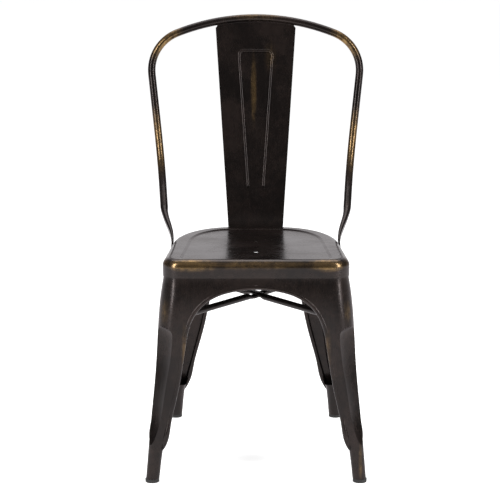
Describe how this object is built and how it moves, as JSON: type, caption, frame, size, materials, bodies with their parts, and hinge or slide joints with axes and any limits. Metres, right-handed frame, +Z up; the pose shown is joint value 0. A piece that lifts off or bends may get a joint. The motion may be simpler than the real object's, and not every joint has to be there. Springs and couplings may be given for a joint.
{
  "type": "metal bistro chair",
  "caption": "Stackable sheet-metal bistro chair with a bent tube back hoop, a tapered slat, a pressed pan seat with drain holes and splayed fluted legs.",
  "frame": {"origin": "on the floor, below the middle of the chair's bounding box", "axes": "+X to the right seen from the front, +Y from the front to the back, +Z up"},
  "size_m": [0.443, 0.5034, 0.85],
  "materials": {
    "seat_finish": "rubbed dark bronze, semi-gloss",
    "leg_finish": "rubbed dark bronze, semi-gloss",
    "tube_finish": "rubbed dark bronze, copper showing on the bends",
    "slat_finish": "rubbed dark bronze, semi-gloss",
    "brace_finish": "dark bronze, satin",
    "glide_rubber": "matt"
  },
  "bodies": {
    "root": {"seat_pan": "seat_finish", "front_left_leg": "leg_finish", "front_right_leg": "leg_finish", "back_left_leg": "leg_finish", "back_right_leg": "leg_finish", "front_left_glide": "glide_rubber", "front_right_glide": "glide_rubber", "back_left_glide": "glide_rubber", "back_right_glide": "glide_rubber", "brace_bar_lower": "brace_finish", "brace_bar_upper": "brace_finish", "back_hoop": "tube_finish", "back_slat": "slat_finish"}
  },
  "joints": []
}
